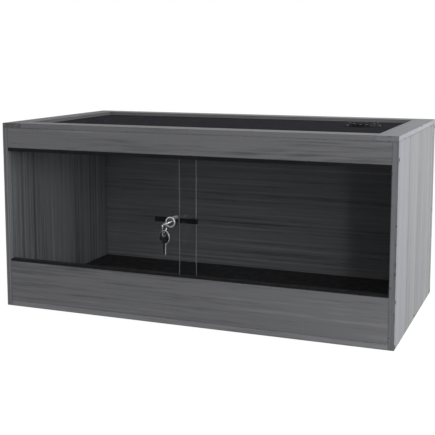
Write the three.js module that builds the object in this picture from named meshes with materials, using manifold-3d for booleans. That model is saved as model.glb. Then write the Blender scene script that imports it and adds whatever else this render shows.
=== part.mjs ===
// Terrarium cabinet: a melamine box with a screened top, two glass doors that
// slide past each other in plastic tracks, and a ratchet lock with its keys.
// Millimetres, +Z up. The origin is the centre of the underside, -Y is the front.
import * as THREE from 'three';
import { mergeVertices } from 'three/addons/utils/BufferGeometryUtils.js';
import Module from 'manifold-3d';

const wasm = await Module();
wasm.setup();

// ---------------------------------------------------------------- driving sizes
// Box
const WIDTH = 914;
const DEPTH = 483;
const HEIGHT = 432;
const BOARD = 12.7;              // sides, bottom, back and front boards
const TOP_BOARD = 11;            // the four boards of the top frame
const FASCIA_HEIGHT = 95;        // front board under the doors
const HEADER_HEIGHT = 46;        // front board over the doors
const LINER_THICKNESS = 12;      // black mat that covers the floor
const LINER_CLEARANCE = 1;

// Top frame and its screen
const FRAME_WIDTH = 48;
const REBATE_WIDTH = 10;         // step under the frame that the screen lies in
const REBATE_DEPTH = 3;
const SCREEN_THICKNESS = 1.2;
const SCREEN_CLEARANCE = 0.3;
const SCREEN_COLUMNS = 22;        // gaps along the width
const SCREEN_ROWS = 10;           // gaps along the depth
const SCREEN_WIRE = 2;

// Side screws and hidden dowels
const SCREW_LENGTH = 38;
const SCREW_RADIUS = 2;
const SCREW_HEAD_RADIUS = 4.2;
const SCREW_HEAD_DEPTH = 2.6;
const SCREW_HEAD_RIM = 0.8;
const SCREW_SINK = 0.1;           // head below the board's face
const SCREW_POINT = 5;
const SCREW_CLEARANCE = 0.2;
const HEADER_SCREW_DROP = 36;    // below the header's top edge
const FASCIA_SCREW_DROP = 9;     // below the fascia's top edge
const BACK_SCREW_DROP = 7;       // below the back panel's top edge
const DOWEL_RADIUS = 3;
const DOWEL_LENGTH = 24;
const DOWEL_IN_FRAME = 7.5;
const DOWEL_CLEARANCE = 0.2;
const SIDE_DOWEL_SPACING = 300;  // along the depth
const RAIL_DOWEL_SPACING = 560;  // along the width

// Sliding glass and its tracks, measured back from the front face
const GLASS = 4;
const GLASS_CHAMFER = 0.5;
const PANE_OVERLAP = 37;
const PANE_SPLIT = 5.5;          // middle of the overlap, right of the box's middle
const PANE_GAP = 5;              // between the two panes, where the ratchet bar runs
const PANE_CLEARANCE = 0.3;
const TRACK_LIP = 2;
const TRACK_FLOOR = 1.5;
const BOTTOM_TRACK_HEIGHT = 5;
const TOP_TRACK_HEIGHT = 8;
const TOP_ENGAGEMENT = 2.5;      // how far the panes reach up into the top track

// Ratchet lock
const LOCK_HEIGHT = 232;         // lock axis above the floor
const LOCK_RADIUS = 11.5;
const LOCK_NOSE = 18;            // in front of the front face
const LOCK_BACK_PLATE = 1.3;
const LOCK_CLEARANCE = 0.3;
const BAR_THICKNESS = 2.4;
const BAR_HEIGHT = 11;
const BAR_LENGTH = 99;
const TOOTH_PITCH = 3.2;
const TOOTH_DEPTH = 0.7;
const TOOTH_MARGIN = 5;          // plain bar left of the first tooth
const HOOK_THICKNESS = 2;
const HOOK_REACH = 12;
const PLUG_RADIUS = 7;
const PLUG_PROUD = 0.6;

// Keys and the ring that joins them
const KEY_THICKNESS = 2;
const BLADE_LENGTH = 27;
const BLADE_WIDTH = 7.6;
const BOW_LENGTH = 28;
const BOW_WIDTH = 24;
const BOW_HOLE_RADIUS = 4.5;
const BOW_RIM = 3.5;             // metal left between the hole and the bow's end
const KEY_SHOULDER_GAP = 2.9;    // between the plug's face and the bow
const BOW_WIDEST = 14;           // from the shoulder to the bow's widest line
const BOW_SHOULDER_BEND = 12;    // pull of the curve between shoulder and widest line
const BOW_SHOULDER_LIFT = 2;
const BOW_CROWN_BEND = 20;       // pull of the curve over the bow's end
const BOW_CROWN_WIDTH = 7;
const KEY_POINT = 3;             // taper at the blade's tip
const KEY_CUTS = 5;
const KEY_CUT_DEPTH = 1.2;
const KEY_CUT_STEP = 0.8;        // every second cut is this much deeper
const KEY_CURVE_STEPS = 6;
const KEY_TILT = 25;             // degrees, the keyway's turn at rest
const RING_RADIUS = 10;
const RING_WIRE = 0.9;
const RING_CLEARANCE = 0.5;
const RING_WIRE_SIDES = 6;
const RING_SIDES = 24;

// Round port in the screen
const PORT_FROM_RIGHT = 139;
const PORT_FROM_BACK = 168;
const PORT_FLANGE_RADIUS = 40;
const PORT_FLANGE_THICKNESS = 1.8;
const PORT_RIM_RADIUS = 36.5;
const PORT_BORE_RADIUS = 31;
const PORT_BARREL_WALL = 2.5;
const PORT_RISE = 7.5;           // rim above the screen
const PORT_DROP = 8;             // barrel below the screen
const PORT_LEDGE = 2.5;
const PORT_LEDGE_RISE = 3;       // lid's seat above the screen
const PORT_RIM_TAPER = 1;
const PORT_NOTCHES = 16;
const PORT_NOTCH_WIDTH = 5;
const PORT_NOTCH_DEPTH = 2.6;
const PORT_NUT_RADIUS = 39;
const PORT_NUT_HEIGHT = 4;
const PORT_CLEARANCE = 0.3;
const LID_THICKNESS = 2.4;
const LID_SLOTS = 12;
const LID_SLOT_WIDTH = 2.4;
const LID_SLOT_INNER = 16;
const LID_SLOT_OUTER = 26;
const LID_EDGE = 0.8;            // chamfer round the lid
const LID_GRIP_LENGTH = 40;
const LID_GRIP_THICKNESS = 5;
const LID_GRIP_HEIGHT = 2.4;

// Smoothness of round pieces
const SMALL_SIDES = 10;
const LOCK_SIDES = 32;
const PORT_SIDES = 48;
const SCREEN_HOLE_SIDES = 24;

// How far a cutting block runs past the face that it opens
const CUTTER_REACH = 1;

// ---------------------------------------------------------------- worked-out places
const SIDE = WIDTH / 2;
const SIDE_INNER = SIDE - BOARD;
const FRONT = -DEPTH / 2;
const BACK = DEPTH / 2;
const BOX_TOP = HEIGHT - TOP_BOARD;
const FASCIA_TOP = BOARD + FASCIA_HEIGHT;
const HEADER_BOTTOM = BOX_TOP - HEADER_HEIGHT;
const BOARD_CENTRE = BOARD / 2;
const OPENING_X = SIDE - FRAME_WIDTH;
const OPENING_Y = DEPTH / 2 - FRAME_WIDTH;
const SCREEN_TOP = BOX_TOP + REBATE_DEPTH;
const SCREEN_BOTTOM = SCREEN_TOP - SCREEN_THICKNESS;

const FRONT_PANE = FRONT + TRACK_LIP + PANE_CLEARANCE;
const REAR_PANE = FRONT_PANE + GLASS + PANE_GAP;
const TRACK_DEPTH = REAR_PANE + GLASS + PANE_CLEARANCE + TRACK_LIP - FRONT;
const PANE_BOTTOM = FASCIA_TOP + TRACK_FLOOR + PANE_CLEARANCE;
const PANE_TOP = HEADER_BOTTOM - TOP_TRACK_HEIGHT + TOP_ENGAGEMENT;
const FRONT_PANE_EDGE = PANE_SPLIT - PANE_OVERLAP / 2;
const REAR_PANE_EDGE = PANE_SPLIT + PANE_OVERLAP / 2;

const BAR_FRONT = FRONT_PANE + GLASS + 2 * LOCK_CLEARANCE;
const BAR_BACK = BAR_FRONT + BAR_THICKNESS;
const HOOK_INSIDE = REAR_PANE_EDGE + PANE_CLEARANCE;
const HOOK_OUTSIDE = HOOK_INSIDE + BAR_THICKNESS;
const BAR_LEFT = HOOK_OUTSIDE - BAR_LENGTH;
const LOCK_X = FRONT_PANE_EDGE - PANE_CLEARANCE - LOCK_RADIUS;
const LOCK_FACE = FRONT - LOCK_NOSE;
const SLOT_FRONT = BAR_FRONT - LOCK_CLEARANCE;
const SLOT_BACK = BAR_BACK + LOCK_CLEARANCE;
const LOCK_REAR = SLOT_BACK + LOCK_BACK_PLATE;
const PLUG_FACE = LOCK_FACE - PLUG_PROUD;
const PLUG_REAR = SLOT_FRONT - LOCK_CLEARANCE;
const KEY_SHOULDER = PLUG_FACE - KEY_SHOULDER_GAP;
const BOW_HOLE_CENTRE = BOW_LENGTH - BOW_RIM - BOW_HOLE_RADIUS;
const RING_Y = KEY_SHOULDER - BOW_LENGTH + BOW_RIM / 2;
const tilt = THREE.MathUtils.degToRad(KEY_TILT);
const KEY_TOP = KEY_THICKNESS / 2 / Math.cos(tilt) + RING_WIRE * Math.tan(tilt);
const RING_Z = LOCK_HEIGHT + KEY_TOP + RING_CLEARANCE - (RING_RADIUS - RING_WIRE);
const RING_FOOT = RING_Z - RING_RADIUS;

const PORT_X = SIDE - PORT_FROM_RIGHT;
const PORT_Y = BACK - PORT_FROM_BACK;
const BARREL_RADIUS = PORT_BORE_RADIUS + PORT_BARREL_WALL;
const LEDGE_TOP = SCREEN_TOP + PORT_LEDGE_RISE;

// ---------------------------------------------------------------- finishes
const finish = (color, roughness, metalness = 0) => ({ color, roughness, metalness });
const MELAMINE = finish('#6e6f72', 0.55);
const BLACK_SCREEN = finish('#1b1b1d', 0.6, 0.4);
const BLACK_PLASTIC = finish('#0f0f10', 0.5);
const GLOSS_PLASTIC = finish('#141416', 0.2);
const BLACK_STEEL = finish('#17171a', 0.4, 0.7);
const CHROME = finish('#d5d7da', 0.12, 1);
const STEEL = finish('#b9bbbd', 0.3, 1);
const LINER = finish('#18181a', 0.65);
const GLASS_FINISH = { ...finish('#dfe8e6', 0.05), transparent: true, opacity: 0.25 };
const BEECH = finish('#c8a878', 0.7);

// ---------------------------------------------------------------- solid tools
/** A closed geometry as a solid that can be joined and cut. */
function toSolid(geometry) {
  const bare = geometry.clone();
  bare.deleteAttribute('normal');
  bare.deleteAttribute('uv');
  const merged = mergeVertices(bare, 1e-4);
  return new wasm.Manifold(new wasm.Mesh({
    numProp: 3,
    vertProperties: new Float32Array(merged.attributes.position.array),
    triVerts: new Uint32Array(merged.index.array),
  }));
}

/** A solid back as a geometry. */
function toGeometry(solid) {
  const mesh = solid.getMesh();
  const geometry = new THREE.BufferGeometry();
  geometry.setAttribute('position', new THREE.BufferAttribute(mesh.vertProperties, 3));
  geometry.setIndex(new THREE.BufferAttribute(mesh.triVerts, 1));
  geometry.computeVertexNormals();
  return geometry;
}

/** The geometry with each of the tools taken out of it. */
function cut(geometry, tools) {
  return toGeometry(tools.reduce((solid, tool) => solid.subtract(toSolid(tool)), toSolid(geometry)));
}

/** All the geometries joined to one. */
function join(geometries) {
  const [first, ...others] = geometries.map(toSolid);
  return toGeometry(others.reduce((solid, other) => solid.add(other), first));
}

/** A block between two corners. */
function block([x0, y0, z0], [x1, y1, z1]) {
  const geometry = new THREE.BoxGeometry(x1 - x0, y1 - y0, z1 - z0);
  return geometry.translate((x0 + x1) / 2, (y0 + y1) / 2, (z0 + z1) / 2);
}

/** A round bar along +Z from the given foot. */
function post(radius, height, [x, y, z], sides) {
  const geometry = new THREE.CylinderGeometry(radius, radius, height, sides);
  return geometry.rotateX(Math.PI / 2).translate(x, y, z + height / 2);
}

/** A round bar along +Y from the given end. */
function rod(radius, length, [x, y, z], sides) {
  return new THREE.CylinderGeometry(radius, radius, length, sides).translate(x, y + length / 2, z);
}

/** A profile of [radius, height] pairs turned about +Z. */
function turned(profile, sides) {
  const points = profile.map(([radius, height]) => new THREE.Vector2(radius, height));
  return new THREE.LatheGeometry(points, sides).rotateX(Math.PI / 2);
}

/** An outline of [across, up] pairs, extruded. */
function extruded(outline, depth) {
  const shape = new THREE.Shape(outline.map(([across, up]) => new THREE.Vector2(across, up)));
  return new THREE.ExtrudeGeometry(shape, { depth, bevelEnabled: false });
}

// ---------------------------------------------------------------- scene graph
const cabinet = new THREE.Group();

/** Adds a named piece with its own material. */
function add(name, geometry, surface, parent = cabinet) {
  const mesh = new THREE.Mesh(geometry, new THREE.MeshStandardMaterial(surface));
  mesh.name = name;
  parent.add(mesh);
  return mesh;
}

/** A group of the cabinet, set at a place. */
function station(x, y, z, parent = cabinet) {
  const group = new THREE.Group();
  group.position.set(x, y, z);
  parent.add(group);
  return group;
}

// ---------------------------------------------------------------- screws and dowels
/** Screw profile along its axis, head up at zero, grown by the clearance of its hole. */
function screwProfile(clearance, top) {
  const shank = SCREW_RADIUS + clearance;
  const head = SCREW_HEAD_RADIUS + clearance;
  const tip = -SCREW_LENGTH - clearance;
  return [
    [0, tip],
    [shank, tip + SCREW_POINT],
    [shank, -SCREW_HEAD_DEPTH - clearance],
    [head, -SCREW_HEAD_RIM - clearance],
    [head, top],
    [0, top],
  ];
}

const screwPlaces = {
  front_top: [FRONT + BOARD_CENTRE, BOX_TOP - HEADER_SCREW_DROP],
  front_middle: [FRONT + BOARD_CENTRE, FASCIA_TOP - FASCIA_SCREW_DROP],
  front_bottom: [FRONT + BOARD_CENTRE, BOARD_CENTRE],
  middle_bottom: [0, BOARD_CENTRE],
  back_top: [BACK - BOARD_CENTRE, BOX_TOP - BACK_SCREW_DROP],
  back_middle: [BACK - BOARD_CENTRE, BOX_TOP / 2],
  back_bottom: [BACK - BOARD_CENTRE, BOARD_CENTRE],
};

/** Screws enter from both sides: side is 1 on the right and -1 on the left. */
const sides = [['left', -1], ['right', 1]];
const screws = sides.flatMap(([hand, side]) => Object.entries(screwPlaces).map(
  ([place, [y, z]]) => ({ name: `screw_${hand}_${place}`, side, y, z })));

/** Every screw's hole, in the cabinet's frame. */
const screwHoles = screws.map(({ side, y, z }) =>
  turned(screwProfile(SCREW_CLEARANCE, SCREW_CLEARANCE), SMALL_SIDES)
    .rotateY(side * Math.PI / 2).translate(side * SIDE, y, z));

for (const { name, side, y, z } of screws) {
  const screw = turned(screwProfile(0, -SCREW_SINK), SMALL_SIDES);
  const mesh = add(name, screw, BLACK_STEEL, station(side * SIDE, y, z));
  mesh.rotation.y = side * Math.PI / 2;
}

const railDowelY = { front: FRONT + BOARD_CENTRE, back: BACK - BOARD_CENTRE };
const dowels = [
  ...sides.flatMap(([hand, side]) => [['front', -1], ['back', 1]].map(([end, way]) => ({
    name: `dowel_${hand}_${end}`,
    x: side * (SIDE - BOARD_CENTRE),
    y: way * SIDE_DOWEL_SPACING / 2,
  }))),
  ...Object.entries(railDowelY).flatMap(([rail, y]) => sides.map(([hand, side]) => ({
    name: `dowel_${rail}_rail_${hand}`,
    x: side * RAIL_DOWEL_SPACING / 2,
    y,
  }))),
];
const dowelFoot = BOX_TOP + DOWEL_IN_FRAME - DOWEL_LENGTH;
const dowelHoles = dowels.map(({ x, y }) => post(
  DOWEL_RADIUS + DOWEL_CLEARANCE,
  DOWEL_LENGTH + 2 * DOWEL_CLEARANCE,
  [x, y, dowelFoot - DOWEL_CLEARANCE],
  SMALL_SIDES,
));
for (const { name, x, y } of dowels) {
  add(name, post(DOWEL_RADIUS, DOWEL_LENGTH, [0, 0, 0], SMALL_SIDES), BEECH, station(x, y, dowelFoot));
}

// ---------------------------------------------------------------- box boards
/** Whether two geometries' bounding boxes reach into each other. */
function meets(a, b) {
  a.computeBoundingBox();
  b.computeBoundingBox();
  return a.boundingBox.intersectsBox(b.boundingBox);
}

/** A board between two corners, drilled for every screw and dowel that enters it. */
function board(name, low, high, extraCuts = []) {
  const blank = block(low, high);
  const drills = [...screwHoles, ...dowelHoles].filter((hole) => meets(blank, hole));
  add(name, cut(blank, [...drills, ...extraCuts]), MELAMINE);
}

board('left_side_panel', [-SIDE, FRONT, 0], [-SIDE_INNER, BACK, BOX_TOP]);
board('right_side_panel', [SIDE_INNER, FRONT, 0], [SIDE, BACK, BOX_TOP]);
board('bottom_panel', [-SIDE_INNER, FRONT, 0], [SIDE_INNER, BACK, BOARD]);
board('back_panel', [-SIDE_INNER, BACK - BOARD, BOARD], [SIDE_INNER, BACK, BOX_TOP]);
board('front_fascia', [-SIDE_INNER, FRONT, BOARD], [SIDE_INNER, FRONT + BOARD, FASCIA_TOP]);
board('front_header', [-SIDE_INNER, FRONT, HEADER_BOTTOM], [SIDE_INNER, FRONT + BOARD, BOX_TOP]);

add('floor_liner', block(
  [-SIDE_INNER + LINER_CLEARANCE, FRONT + BOARD + LINER_CLEARANCE, BOARD],
  [SIDE_INNER - LINER_CLEARANCE, BACK - BOARD - LINER_CLEARANCE, BOARD + LINER_THICKNESS],
), LINER);

// ---------------------------------------------------------------- top frame and screen
const rebate = block(
  [-OPENING_X - REBATE_WIDTH, -OPENING_Y - REBATE_WIDTH, BOX_TOP - CUTTER_REACH],
  [OPENING_X + REBATE_WIDTH, OPENING_Y + REBATE_WIDTH, SCREEN_TOP],
);
board('top_frame_left', [-SIDE, FRONT, BOX_TOP], [-OPENING_X, BACK, HEIGHT], [rebate]);
board('top_frame_right', [OPENING_X, FRONT, BOX_TOP], [SIDE, BACK, HEIGHT], [rebate]);
board('top_frame_front', [-OPENING_X, FRONT, BOX_TOP], [OPENING_X, -OPENING_Y, HEIGHT], [rebate]);
board('top_frame_back', [-OPENING_X, OPENING_Y, BOX_TOP], [OPENING_X, BACK, HEIGHT], [rebate]);

const screenX = OPENING_X + REBATE_WIDTH - SCREEN_CLEARANCE;
const screenY = OPENING_Y + REBATE_WIDTH - SCREEN_CLEARANCE;

/** The lines of a grid of wires over an opening, between the two edges of its hem. */
function wireLines(hemEdge, opening, gaps) {
  const lines = [-hemEdge];
  for (let gap = 0; gap < gaps; gap += 1) {
    const start = opening * (2 * gap / gaps - 1);
    const end = opening * (2 * (gap + 1) / gaps - 1);
    lines.push(start + SCREEN_WIRE / 2, end - SCREEN_WIRE / 2);
  }
  return [...lines, hemEdge];
}

/** A plate on a grid of lines, with every cell that is odd both ways left open. */
function latticePlate(xs, ys, thickness) {
  const corners = [];
  const face = (a, b, c, d) => corners.push(...a, ...b, ...c, ...a, ...c, ...d);
  const solid = (i, j) => i >= 0 && j >= 0 && i < xs.length - 1 && j < ys.length - 1
    && !(i % 2 === 1 && j % 2 === 1);
  const wall = ([x0, y0], [x1, y1]) => face(
    [x0, y0, 0], [x1, y1, 0], [x1, y1, thickness], [x0, y0, thickness]);
  for (let i = 0; i < xs.length - 1; i += 1) {
    for (let j = 0; j < ys.length - 1; j += 1) {
      if (!solid(i, j)) continue;
      const [x0, x1, y0, y1] = [xs[i], xs[i + 1], ys[j], ys[j + 1]];
      face([x0, y0, thickness], [x1, y0, thickness], [x1, y1, thickness], [x0, y1, thickness]);
      face([x0, y0, 0], [x0, y1, 0], [x1, y1, 0], [x1, y0, 0]);
      if (!solid(i, j - 1)) wall([x0, y0], [x1, y0]);
      if (!solid(i + 1, j)) wall([x1, y0], [x1, y1]);
      if (!solid(i, j + 1)) wall([x1, y1], [x0, y1]);
      if (!solid(i - 1, j)) wall([x0, y1], [x0, y0]);
    }
  }
  const geometry = new THREE.BufferGeometry();
  geometry.setAttribute('position', new THREE.Float32BufferAttribute(corners, 3));
  geometry.computeVertexNormals();
  return geometry;
}

/** Crossing wires inside a plain hem, open where the collar goes through. */
function screenGeometry() {
  const net = latticePlate(
    wireLines(screenX, OPENING_X, SCREEN_COLUMNS),
    wireLines(screenY, OPENING_Y, SCREEN_ROWS),
    SCREEN_THICKNESS,
  );
  const hole = post(BARREL_RADIUS + PORT_CLEARANCE, 3 * SCREEN_THICKNESS,
    [PORT_X, PORT_Y, -SCREEN_THICKNESS], SCREEN_HOLE_SIDES);
  return cut(net, [hole]);
}
add('screen_mesh', screenGeometry(), BLACK_SCREEN, station(0, 0, SCREEN_BOTTOM));

// Four strips hold the screen up in its rebate.
const stripX = OPENING_X + SCREEN_CLEARANCE;
const stripY = OPENING_Y + SCREEN_CLEARANCE;
for (const [hand, side] of sides) {
  const across = [side * stripX, side * screenX].sort((a, b) => a - b);
  add(`screen_strip_${hand}`, block(
    [across[0], -screenY, BOX_TOP], [across[1], screenY, SCREEN_BOTTOM]), BLACK_STEEL);
}
for (const [end, way] of [['front', -1], ['back', 1]]) {
  const along = [way * stripY, way * screenY].sort((a, b) => a - b);
  add(`screen_strip_${end}`, block(
    [-stripX, along[0], BOX_TOP], [stripX, along[1], SCREEN_BOTTOM]), BLACK_STEEL);
}

// ---------------------------------------------------------------- round port
/** Collar that hangs in the screen by its flange, with a notched rim and a ledge inside. */
function collarGeometry() {
  const flangeTop = PORT_FLANGE_THICKNESS;
  const ledgeTop = LEDGE_TOP - SCREEN_TOP;
  const collar = turned([
    [PORT_BORE_RADIUS, -PORT_DROP],
    [BARREL_RADIUS, -PORT_DROP],
    [BARREL_RADIUS, 0],
    [PORT_FLANGE_RADIUS, 0],
    [PORT_FLANGE_RADIUS, flangeTop / 2],
    [PORT_FLANGE_RADIUS - flangeTop / 2, flangeTop],
    [PORT_RIM_RADIUS, flangeTop],
    [PORT_RIM_RADIUS - PORT_RIM_TAPER, PORT_RISE],
    [PORT_BORE_RADIUS, PORT_RISE],
    [PORT_BORE_RADIUS, ledgeTop],
    [PORT_BORE_RADIUS - PORT_LEDGE, ledgeTop],
    [PORT_BORE_RADIUS - PORT_LEDGE, ledgeTop - PORT_LEDGE / 2],
    [PORT_BORE_RADIUS, ledgeTop - PORT_LEDGE],
    [PORT_BORE_RADIUS, -PORT_DROP],
  ], PORT_SIDES);
  const notches = Array.from({ length: PORT_NOTCHES }, (_, index) => block(
    [PORT_BORE_RADIUS - CUTTER_REACH, -PORT_NOTCH_WIDTH / 2, PORT_RISE - PORT_NOTCH_DEPTH],
    [PORT_RIM_RADIUS + CUTTER_REACH, PORT_NOTCH_WIDTH / 2, PORT_RISE + CUTTER_REACH],
  ).rotateZ(index * 2 * Math.PI / PORT_NOTCHES));
  return cut(collar, notches);
}

/** Ring that pins the collar from below. */
function nutGeometry() {
  const inside = BARREL_RADIUS + PORT_CLEARANCE;
  return turned([
    [inside, -PORT_NUT_HEIGHT],
    [PORT_NUT_RADIUS, -PORT_NUT_HEIGHT],
    [PORT_NUT_RADIUS, 0],
    [inside, 0],
    [inside, -PORT_NUT_HEIGHT],
  ], PORT_SIDES);
}

/** Lid with radial vent slots and a finger bar. */
function lidGeometry() {
  const radius = PORT_BORE_RADIUS - PORT_CLEARANCE;
  const plate = turned([
    [0, 0],
    [radius, 0],
    [radius, LID_THICKNESS - LID_EDGE],
    [radius - LID_EDGE, LID_THICKNESS],
    [0, LID_THICKNESS],
  ], PORT_SIDES);
  const slots = Array.from({ length: LID_SLOTS }, (_, index) => block(
    [LID_SLOT_INNER, -LID_SLOT_WIDTH / 2, -CUTTER_REACH],
    [LID_SLOT_OUTER, LID_SLOT_WIDTH / 2, LID_THICKNESS + CUTTER_REACH],
  ).rotateZ((index + 0.5) * 2 * Math.PI / LID_SLOTS));
  const bar = block(
    [-LID_GRIP_LENGTH / 2, -LID_GRIP_THICKNESS / 2, LID_THICKNESS / 2],
    [LID_GRIP_LENGTH / 2, LID_GRIP_THICKNESS / 2, LID_THICKNESS + LID_GRIP_HEIGHT],
  );
  return join([cut(plate, slots), bar]);
}

add('port_collar', collarGeometry(), GLOSS_PLASTIC, station(PORT_X, PORT_Y, SCREEN_TOP));
add('port_nut', nutGeometry(), BLACK_PLASTIC, station(PORT_X, PORT_Y, SCREEN_BOTTOM));
add('port_lid', lidGeometry(), GLOSS_PLASTIC, station(PORT_X, PORT_Y, LEDGE_TOP));

// ---------------------------------------------------------------- door tracks
/** Turns an outline drawn as [depth, height] and extruded to run along +X. */
const alongX = new THREE.Matrix4().makeBasis(
  new THREE.Vector3(0, 1, 0), new THREE.Vector3(0, 0, 1), new THREE.Vector3(1, 0, 0));

/** A channel with two grooves; height grows away from the board that carries it. */
function trackGeometry(height, way) {
  const grooves = [FRONT_PANE, REAR_PANE].map((pane) => [
    pane - PANE_CLEARANCE - FRONT, pane + GLASS + PANE_CLEARANCE - FRONT]);
  const outline = [[0, 0], [TRACK_DEPTH, 0], [TRACK_DEPTH, height]];
  for (const [near, far] of grooves.reverse()) {
    outline.push([far, height], [far, TRACK_FLOOR], [near, TRACK_FLOOR], [near, height]);
  }
  outline.push([0, height]);
  const turnedOver = outline.map(([depth, up]) => [depth, way * up]);
  const length = 2 * (SIDE_INNER - PANE_CLEARANCE);
  return extruded(turnedOver, length).translate(0, 0, -length / 2).applyMatrix4(alongX);
}
add('bottom_track', trackGeometry(BOTTOM_TRACK_HEIGHT, 1), BLACK_PLASTIC, station(0, FRONT, FASCIA_TOP));
add('top_track', trackGeometry(TOP_TRACK_HEIGHT, -1), BLACK_PLASTIC, station(0, FRONT, HEADER_BOTTOM));

// ---------------------------------------------------------------- glass doors
const PANE_OUTER = SIDE_INNER - PANE_CLEARANCE;
const PANE_HEIGHT = PANE_TOP - PANE_BOTTOM;

/** A pane with its edges ground, its outer edge at x = 0 and its foot at z = 0. */
function paneGeometry(side, width) {
  const inner = side * (GLASS_CHAMFER - width);
  const outer = -side * GLASS_CHAMFER;
  const foot = GLASS_CHAMFER;
  const top = PANE_HEIGHT - GLASS_CHAMFER;
  const shape = new THREE.Shape([[inner, foot], [outer, foot], [outer, top], [inner, top]]
    .map(([x, z]) => new THREE.Vector2(x, z)));
  return new THREE.ExtrudeGeometry(shape, {
    depth: GLASS - 2 * GLASS_CHAMFER,
    bevelSize: GLASS_CHAMFER,
    bevelThickness: GLASS_CHAMFER,
    bevelSegments: 1,
  }).rotateX(Math.PI / 2).translate(0, GLASS - GLASS_CHAMFER, 0);
}
add('left_glass_door', paneGeometry(-1, PANE_OUTER + REAR_PANE_EDGE), GLASS_FINISH,
  station(-PANE_OUTER, REAR_PANE, PANE_BOTTOM));
add('right_glass_door', paneGeometry(1, PANE_OUTER - FRONT_PANE_EDGE), GLASS_FINISH,
  station(PANE_OUTER, FRONT_PANE, PANE_BOTTOM));

// ---------------------------------------------------------------- ratchet lock
/** Toothed bar whose end wraps the rear pane's edge. */
function barGeometry() {
  const hookFront = REAR_PANE + GLASS + PANE_CLEARANCE;
  const hookBack = hookFront + HOOK_THICKNESS;
  const toothed = HOOK_OUTSIDE - 2 * TOOTH_MARGIN - BAR_LEFT;
  const teeth = Math.floor(toothed / TOOTH_PITCH);
  const outline = [[BAR_LEFT, BAR_BACK], [BAR_LEFT, BAR_FRONT], [BAR_LEFT + TOOTH_MARGIN, BAR_FRONT]];
  for (let tooth = 0; tooth < teeth; tooth += 1) {
    const x = BAR_LEFT + TOOTH_MARGIN + tooth * TOOTH_PITCH;
    outline.push([x, BAR_FRONT + TOOTH_DEPTH], [x + TOOTH_PITCH, BAR_FRONT]);
  }
  outline.push(
    [HOOK_OUTSIDE, BAR_FRONT],
    [HOOK_OUTSIDE, hookBack],
    [REAR_PANE_EDGE - HOOK_REACH, hookBack],
    [REAR_PANE_EDGE - HOOK_REACH, hookFront],
    [HOOK_INSIDE, hookFront],
    [HOOK_INSIDE, BAR_BACK],
  );
  return extruded(outline, BAR_HEIGHT).translate(0, 0, -BAR_HEIGHT / 2);
}
add('ratchet_bar', barGeometry(), BLACK_STEEL, station(0, 0, LOCK_HEIGHT));

/** Round housing, slotted for the bar and bored for the plug. */
function lockBodyGeometry() {
  const barrel = rod(LOCK_RADIUS, LOCK_REAR - LOCK_FACE, [0, LOCK_FACE, 0], LOCK_SIDES);
  const reach = 2 * LOCK_RADIUS;
  const slotHalf = BAR_HEIGHT / 2 + LOCK_CLEARANCE;
  const slot = block([-reach, SLOT_FRONT, -slotHalf], [reach, SLOT_BACK, slotHalf]);
  const boreRadius = PLUG_RADIUS + LOCK_CLEARANCE;
  const boreFace = LOCK_FACE - CUTTER_REACH;
  const bore = rod(boreRadius, SLOT_FRONT + CUTTER_REACH - boreFace, [0, boreFace, 0], LOCK_SIDES);
  return cut(barrel, [slot, bore]);
}

/** Plug with a keyway that stops short of its rear face. */
function plugGeometry() {
  const plug = rod(PLUG_RADIUS, PLUG_REAR - PLUG_FACE, [0, PLUG_FACE, 0], LOCK_SIDES);
  const half = BLADE_WIDTH / 2 + LOCK_CLEARANCE;
  const gape = KEY_THICKNESS / 2 + LOCK_CLEARANCE;
  const tip = KEY_SHOULDER + BLADE_LENGTH + LOCK_CLEARANCE;
  const keyway = block([-half, PLUG_FACE - CUTTER_REACH, -gape], [half, tip, gape]);
  return cut(plug, [keyway]).rotateY(-tilt);
}
add('lock_body', lockBodyGeometry(), CHROME, station(LOCK_X, 0, LOCK_HEIGHT));
add('lock_plug', plugGeometry(), STEEL, station(LOCK_X, 0, LOCK_HEIGHT));

// ---------------------------------------------------------------- keys
/** Flat key: the bow lies towards -Y from the shoulder, the cut blade towards +Y. */
function keyGeometry() {
  const halfBow = BOW_WIDTH / 2;
  const halfBlade = BLADE_WIDTH / 2;
  const outline = new THREE.Shape();
  outline.moveTo(-halfBlade, 0);
  outline.bezierCurveTo(
    -halfBow, -BOW_SHOULDER_LIFT, -halfBow, -BOW_SHOULDER_BEND, -halfBow, -BOW_WIDEST);
  outline.bezierCurveTo(
    -halfBow, -BOW_CROWN_BEND, -BOW_CROWN_WIDTH, -BOW_LENGTH, 0, -BOW_LENGTH);
  outline.bezierCurveTo(
    BOW_CROWN_WIDTH, -BOW_LENGTH, halfBow, -BOW_CROWN_BEND, halfBow, -BOW_WIDEST);
  outline.bezierCurveTo(
    halfBow, -BOW_SHOULDER_BEND, halfBow, -BOW_SHOULDER_LIFT, halfBlade, 0);
  const cutPitch = (BLADE_LENGTH - 2 * KEY_POINT) / KEY_CUTS;
  for (let index = 0; index < KEY_CUTS; index += 1) {
    const y = KEY_POINT + index * cutPitch;
    const depth = KEY_CUT_DEPTH + KEY_CUT_STEP * (index % 2);
    outline.lineTo(halfBlade, y);
    outline.lineTo(halfBlade - depth, y + cutPitch / 2);
  }
  outline.lineTo(halfBlade, BLADE_LENGTH - KEY_POINT);
  outline.lineTo(0, BLADE_LENGTH);
  outline.lineTo(-halfBlade, BLADE_LENGTH - KEY_POINT);
  const hole = new THREE.Path();
  hole.absarc(0, -BOW_HOLE_CENTRE, BOW_HOLE_RADIUS, 0, 2 * Math.PI, true);
  outline.holes.push(hole);
  return new THREE.ExtrudeGeometry(outline, {
    depth: KEY_THICKNESS,
    bevelEnabled: false,
    curveSegments: KEY_CURVE_STEPS,
  }).translate(0, 0, -KEY_THICKNESS / 2);
}

const key = add('key', keyGeometry(), CHROME, station(LOCK_X, KEY_SHOULDER, LOCK_HEIGHT));
key.rotation.y = -tilt;

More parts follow.
